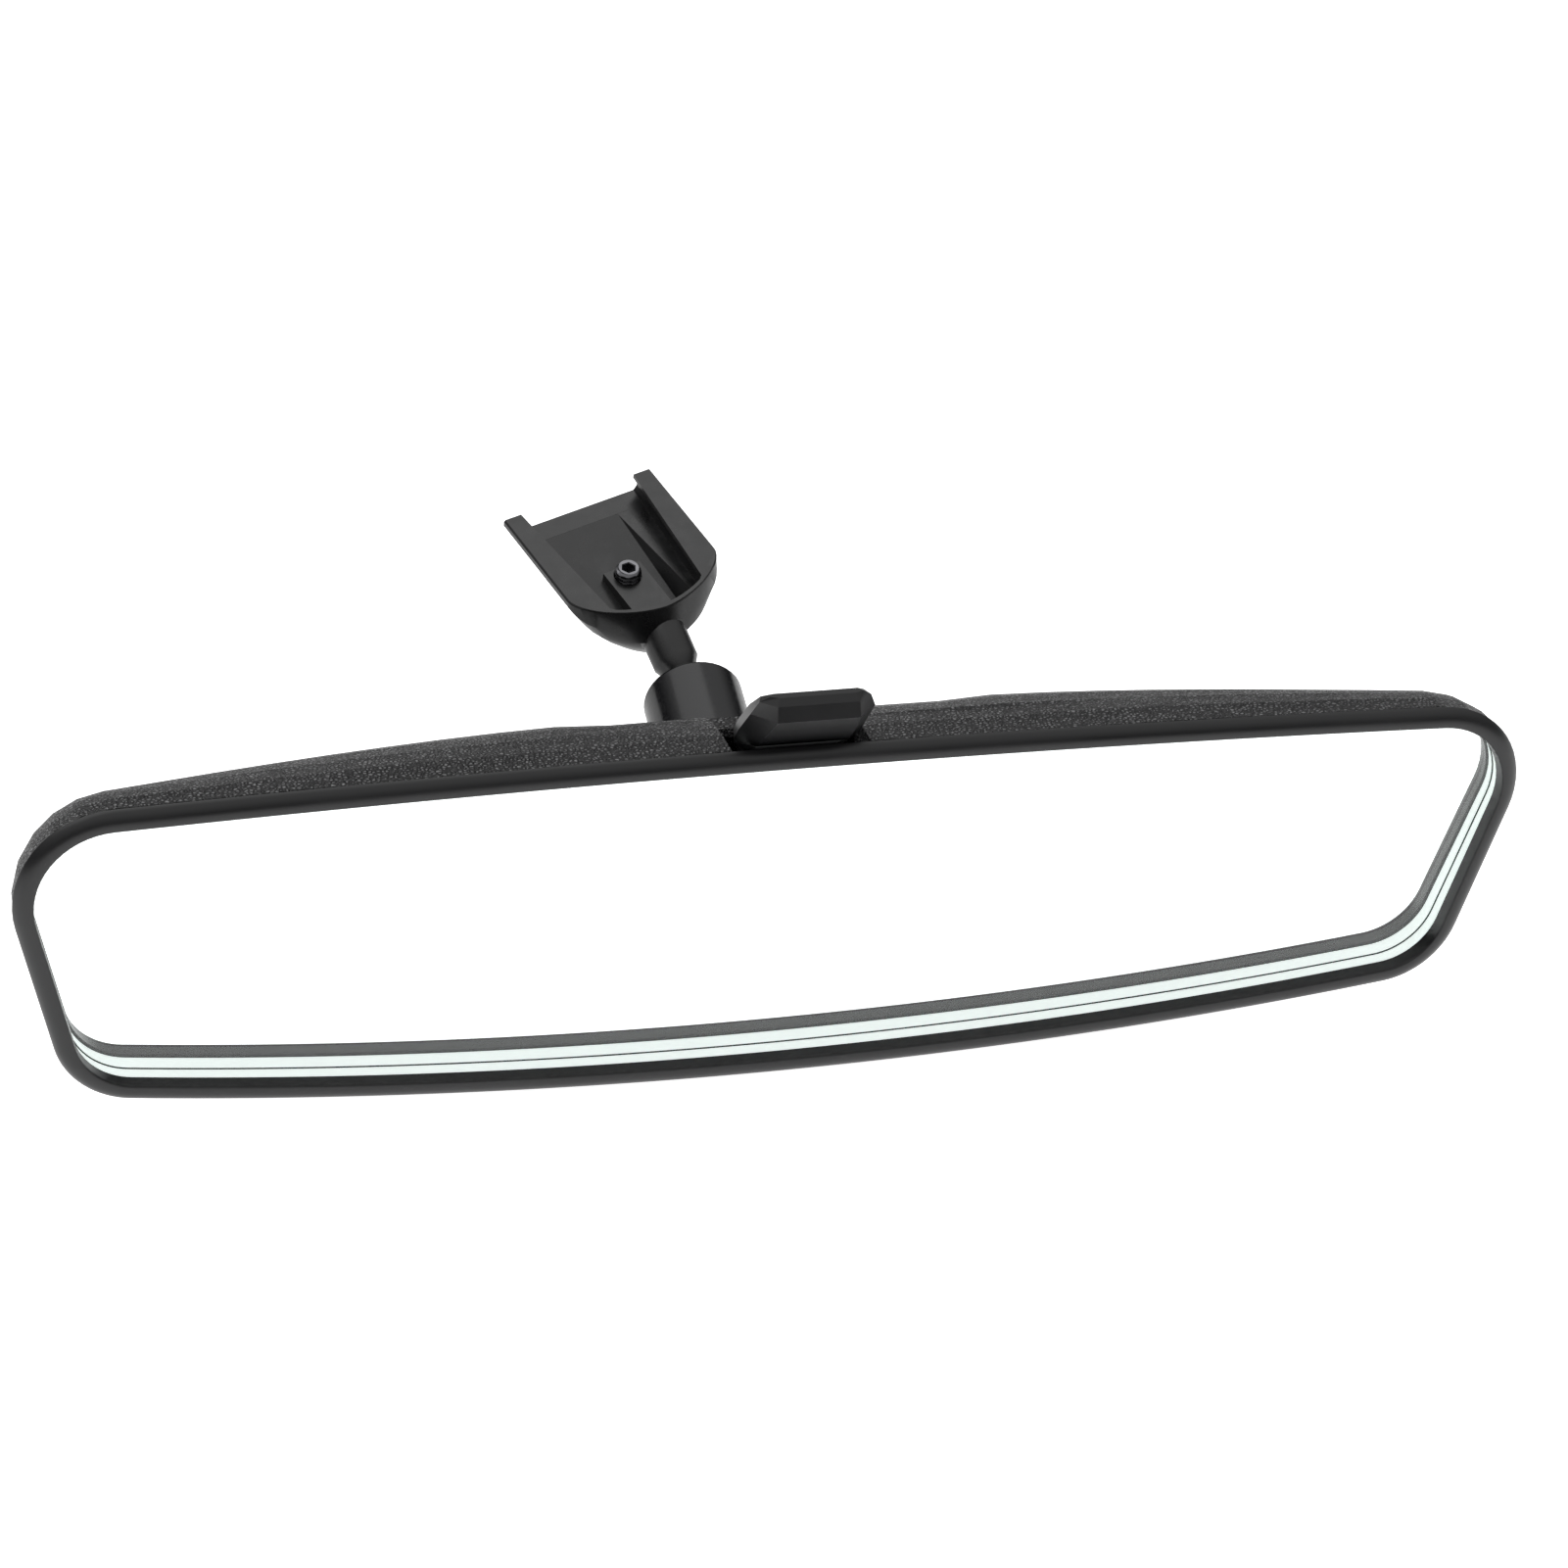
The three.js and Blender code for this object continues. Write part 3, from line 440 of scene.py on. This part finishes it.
def outline(g):
    """The lip opening offset outwards by g: two long arcs, leaning sides and corner arcs."""
    lean = math.hypot(1, LEAN)
    tc, bc = HALF_TOP - TOP_R, BOTTOM_R - HALF_BOTTOM
    rt, rb = TOP_CORNER + g, BOTTOM_CORNER + g
    side = SIDE_X + g * lean

    def centre(c, big, r, sign):
        a = lean * lean
        x0 = side - r * lean
        b = 2 * x0 * LEAN - 2 * c
        k = x0 * x0 + c * c - (big - r) ** 2
        z = (-b + sign * math.sqrt(b * b - 4 * a * k)) / (2 * a)
        return x0 + LEAN * z, z

    ft, fb = centre(tc, TOP_R + g, rt, 1), centre(bc, BOTTOM_R + g, rb, -1)
    at, ab = math.atan2(ft[1] - tc, ft[0]), math.atan2(fb[1] - bc, fb[0])
    s = math.atan2(-LEAN, 1)
    half = []

    def sweep(cx, cz, r, a, b, n):
        for i in range(n):
            t = a + (b - a) * i / n
            half.append((cx + r * math.cos(t), cz + r * math.sin(t)))

    sweep(0, tc, TOP_R + g, math.pi / 2, at, ARC)
    sweep(*ft, rt, at, s, CORNER)
    p = (ft[0] + rt * math.cos(s), ft[1] + rt * math.sin(s))
    q = (fb[0] + rb * math.cos(s), fb[1] + rb * math.sin(s))
    for i in range(SIDE):
        half.append((p[0] + (q[0] - p[0]) * i / SIDE, p[1] + (q[1] - p[1]) * i / SIDE))
    sweep(*fb, rb, s, ab, CORNER)
    sweep(0, bc, BOTTOM_R + g, ab, -math.pi / 2, ARC)
    return half + [(0, bc - BOTTOM_R - g)] + [(-x, z) for x, z in half[:0:-1]]


def ring(g, y_of):
    """The outline at offset g, with its depth as a function of the height."""
    return [(x, y_of(z), z) for x, z in outline(g)]


def strips(rings, closed=False):
    """Points and quads that join each ring to the next."""
    n = len(rings[0])
    verts = [v for r in rings for v in r]
    last = len(rings) if closed else len(rings) - 1
    faces = []
    for r in range(last):
        a, b = r * n, ((r + 1) % len(rings)) * n
        for i in range(n):
            j = (i + 1) % n
            faces.append((a + i, a + j, b + j, b + i))
    return verts, faces


def curve_through(points, steps):
    """Catmull-Rom curve through 2-D points."""
    out = []
    for i in range(len(points) - 1):
        p0 = points[max(i - 1, 0)]
        p1, p2 = points[i], points[i + 1]
        p3 = points[min(i + 2, len(points) - 1)]
        for k in range(steps):
            t = k / steps
            out.append(tuple(
                0.5 * (2 * b + (c - a) * t + (2 * a - 5 * b + 4 * c - d) * t * t
                       + (3 * b - a - 3 * c + d) * t ** 3)
                for a, b, c, d in zip(p0, p1, p2, p3)))
    out.append(points[-1])
    return out


# ---------------------------------------------------------------- bezel and glass
LIP_BACK = 2.6
GLASS_FRONT = 2.85
GLASS_MIDDLE = 4.1  # thickness halfway up
GLASS_REACH = 0.3  # beyond the lip's inner edge
ARRIS = 0.22
BACK_BEVEL = 0.32
# Sections of the bezel: offset outwards from the lip's inner edge, and depth behind its front plane.
LIP_INSIDE = [(-0.1, LIP_BACK), (-0.04, 1.2)]
LIP_FRONT = [
    (0.02, 0.45), (0.1, 0.14), (0.35, 0.0), (1.0, -0.01),
    (1.8, 0.2), (2.5, 0.62), (3.0, 1.2), (3.24, 1.75),
]
SEAM_AND_SKIRT = [
    (3.2, 1.95), (3.1, 2.05), (2.8, 2.2), (1.2, 2.2),
    (1.2, 5.2), (0.55, 5.2), (0.55, LIP_BACK),
]


def bezel():
    """The smooth ring: a rounded lip in front and a skirt that stands inside the housing."""
    section = LIP_INSIDE + curve_through(LIP_FRONT, 3) + SEAM_AND_SKIRT
    verts, faces = strips([ring(g, lambda z, y=y: y) for g, y in section], closed=True)
    obj = new_object("bezel_ring", from_head(verts), faces)
    return finish_piece(obj, "head", "front_bezel", [SATIN], 50)


def glass_back(z):
    """Depth of the glass's back, thicker towards the bottom."""
    return GLASS_FRONT + GLASS_MIDDLE - z / HALF_BOTTOM


def glass():
    """Wedge of glass: polished front, ground edge between two small bevels, silvered back."""
    rings = [
        ring(GLASS_REACH - ARRIS, lambda z: GLASS_FRONT),
        ring(GLASS_REACH, lambda z: GLASS_FRONT + ARRIS),
        ring(GLASS_REACH, lambda z: glass_back(z) - BACK_BEVEL),
        ring(GLASS_REACH - 0.2, glass_back),
    ]
    verts, faces = strips(rings)
    n = len(rings[0])
    front, ground, silvered, bevel = range(4)
    mats = [bevel] * n + [ground] * n + [bevel] * n
    faces.append(tuple(range(n)))
    mats.append(front)
    faces.append(tuple(range(3 * n, 4 * n))[::-1])
    mats.append(silvered)
    obj = new_object("silvered_glass", from_head(verts), faces, mats)
    return finish_piece(obj, "head", "mirror_glass", [CLEAR, GROUND, SILVER, EDGE_SEAL], 20)


bezel()
glass()

# ---------------------------------------------------------------- eased copies of the moulded and cast parts
# CAD node, visible piece, body, slot, material, rounding in mm, least angle rounded, its steps, sharp angle
EASED = [
    ("rear_housing", "housing_shell", "head", "grain_plastic", GRAIN, 0.25, 35, 2, 35),
    ("toggle_lever", "finger_lever", "lever", "satin_plastic", SATIN, 0.3, 14, 3, 50),
    ("mount_tube", "ball_tube", "tube", "tube_plastic", TUBE, 0.2, 40, 3, 40),
    ("windshield_bracket", "cast_bracket", "bracket", "cast_paint", PAINT, 0.28, 30, 3, 28),
    ("head_ball_stud", "head_stud", "stud_plate", "cast_paint", PAINT, 0.15, 40, 2, 40),
]
for node, piece, body, slot, mat, width, angle, steps, sharp in EASED:
    finish_piece(rounded_copy(node, piece, width * MM, angle, steps), body, node, [mat], sharp)

# ---------------------------------------------------------------- set screw
SCREW_R = 2.4 * MM
SCREW_SIDES = 36
SCREW_TAPER = 0.7 * MM  # length over which each end narrows
THREAD_PITCH = 0.8 * MM
THREAD_DEPTH = 0.32 * MM
THREAD_ROWS = 8  # rings for each turn
SOCKET_R = 1.25 * MM  # hexagon, centre to corner
SOCKET_MOUTH = 0.15 * MM
SOCKET_DEPTH = 2.0 * MM


def hexagon(a):
    """Radius of the hex socket at angle a."""
    return SOCKET_R * math.cos(math.pi / 6) / math.cos((a + math.pi / 6) % (math.pi / 3) - math.pi / 6)


def thread(a, h, low, high):
    """Radius of the threaded screw at angle a and height h."""
    taper = min(1.0, (high - h) / SCREW_TAPER, (h - low) / SCREW_TAPER)
    turn = (h / THREAD_PITCH - a / (2 * math.pi)) % 1.0
    return (SCREW_R - THREAD_DEPTH * (1 - abs(2 * turn - 1))) * (0.8 + 0.2 * taper)


def set_screw():
    """Screw with a rolled thread and a hex socket, on the axis of the CAD screw."""
    points = [v.co.copy() for v in frame["nodes"]["bracket_set_screw"].data.vertices]
    middle = (Vector(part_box("bracket_set_screw")[0]) + Vector(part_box("bracket_set_screw")[1])) / 2
    axis = Vector(frame["record"]["mounts"][0]["axis"]).normalized()
    side = axis.orthogonal().normalized()
    other = axis.cross(side)
    along = [(p - middle).dot(axis) for p in points]
    low, high = min(along), max(along)
    angles = [2 * math.pi * c / SCREW_SIDES for c in range(SCREW_SIDES)]

    def level(radius, h):
        return [middle + axis * h + (side * math.cos(a) + other * math.sin(a)) * radius(a) for a in angles]

    rows = int((high - low) / (THREAD_PITCH / THREAD_ROWS))
    heights = [low + (high - low) * k / rows for k in range(rows + 1)]
    levels = [level(lambda a, h=h: thread(a, h, low, high), h) for h in heights]
    levels.append(level(lambda a: hexagon(a) * 1.12, high))
    levels.append(level(hexagon, high - SOCKET_MOUTH))
    levels.append(level(hexagon, high - SOCKET_DEPTH))
    verts, faces = strips(levels)
    faces.append(tuple(range(SCREW_SIDES))[::-1])
    faces.append(tuple(range(len(verts) - SCREW_SIDES, len(verts))))
    obj = new_object("set_screw", verts, faces)
    return finish_piece(obj, "bracket", "bracket_set_screw", [SCREW], 35)


set_screw()

# Shading flags only: the CAD meshes keep every point and face.
for o in frame["nodes"].values():
    o.data.shade_smooth()
    o.data.set_sharp_from_angle(angle=math.radians(35))

# ---------------------------------------------------------------- floor, light and camera


FLOOR_GLOW = 0.95
FLOOR_BEHIND = 0.22  # its glow behind the object, as reflections see it
FLOOR_FALL_Y = (-0.09, -0.03)  # the glow falls between these
FLOOR_REACH = 6.0
FLOOR_GAP = 0.5 * MM


def floor():
    """Plain floor, pure white to the camera. In reflections it is dim behind the object."""
    me = bpy.data.meshes.new("floor")
    z = CAD_BOX[0].z - FLOOR_GAP
    r = FLOOR_REACH
    me.from_pydata([(-r, -r, z), (r, -r, z), (r, r, z), (-r, r, z)], [], [(0, 1, 2, 3)])
    obj = bpy.data.objects.new("floor", me)
    bpy.context.scene.collection.objects.link(obj)
    mat, bsdf = shader("floor_white", (0.9, 0.9, 0.9), 0.9)
    bsdf.inputs["Emission Color"].default_value = (1, 1, 1, 1)
    t = Tree(mat)
    shade = [(0.3, (0.88, 0.88, 0.88)), (0.7, (0.92, 0.92, 0.92))]
    t.link(t.ramp(t.noise(3, 2.0), shade), bsdf.inputs["Base Color"])
    split = t.add("ShaderNodeSeparateXYZ")
    t.link(t.coord, split.inputs[0])
    reflected = t.span(split.outputs["Y"], *FLOOR_FALL_Y, FLOOR_GLOW, FLOOR_BEHIND)
    seen = t.add("ShaderNodeLightPath").outputs["Is Camera Ray"]
    glow = t.math("MAXIMUM", reflected, t.math("MULTIPLY", seen, FLOOR_GLOW))
    t.link(glow, bsdf.inputs["Emission Strength"])
    me.materials.append(mat)


def area(name, at, to, size, power):
    data = bpy.data.lights.new(name, "AREA")
    data.shape = "RECTANGLE"
    data.size, data.size_y = size
    data.energy = power
    obj = bpy.data.objects.new(name, data)
    bpy.context.scene.collection.objects.link(obj)
    obj.location = at
    obj.rotation_mode = "QUATERNION"
    obj.rotation_quaternion = (Vector(to) - Vector(at)).to_track_quat("-Z", "Y")


SENSOR = 36.0
LENS = 115.616
CAMERA_AT = (-0.23113, -0.74437, 0.41264)
CAMERA_RIGHT = (0.9554, -0.2841, 0.0809)
CAMERA_UP = (0.0753, 0.4988, 0.8634)


def camera():
    data = bpy.data.cameras.new("camera")
    data.sensor_width = SENSOR
    data.lens = LENS
    data.clip_start = 0.01
    data.clip_end = 50
    obj = bpy.data.objects.new("camera", data)
    bpy.context.scene.collection.objects.link(obj)
    right = Vector(CAMERA_RIGHT).normalized()
    up = Vector(CAMERA_UP)
    up = (up - up.dot(right) * right).normalized()
    back = right.cross(up)
    m = Matrix((right, up, back)).transposed().to_4x4()
    m.translation = CAMERA_AT
    obj.matrix_world = m
    bpy.context.scene.camera = obj


SKY = [(0.0, 0.03), (0.2, 0.06), (0.36, 0.3), (0.52, 0.62), (0.9, 1.0)]  # height and brightness


def world():
    """Soft light from overhead that falls off towards the horizon. The camera sees plain white."""
    w = bpy.data.worlds.new("studio")
    bpy.context.scene.world = w
    w.use_nodes = True
    t = w.node_tree
    coord = t.nodes.new("ShaderNodeTexCoord")
    split = t.nodes.new("ShaderNodeSeparateXYZ")
    t.links.new(coord.outputs["Generated"], split.inputs[0])
    ramp = t.nodes.new("ShaderNodeValToRGB")
    e = ramp.color_ramp.elements
    for i, (pos, v) in enumerate(SKY):
        if i >= 2:
            e.new(pos)
        e[i].position = pos
        e[i].color = (v, v, v, 1)
    t.links.new(split.outputs["Z"], ramp.inputs["Fac"])
    path = t.nodes.new("ShaderNodeLightPath")
    white = t.nodes.new("ShaderNodeBackground")
    back = t.nodes["Background"]
    t.links.new(ramp.outputs["Color"], back.inputs["Color"])
    mix = t.nodes.new("ShaderNodeMixShader")
    t.links.new(path.outputs["Is Camera Ray"], mix.inputs[0])
    t.links.new(back.outputs[0], mix.inputs[1])
    t.links.new(white.outputs[0], mix.inputs[2])
    white.inputs["Color"].default_value = (1, 1, 1, 1)
    t.links.new(mix.outputs[0], t.nodes["World Output"].inputs["Surface"])


floor()
area("key", at=(-0.4, 0.6, 1.3), to=(0, -0.05, 0), size=(1.8, 1.4), power=7)
camera()
world()
bpy.context.scene.view_settings.view_transform = "Standard"
bpy.context.scene.view_settings.look = "None"
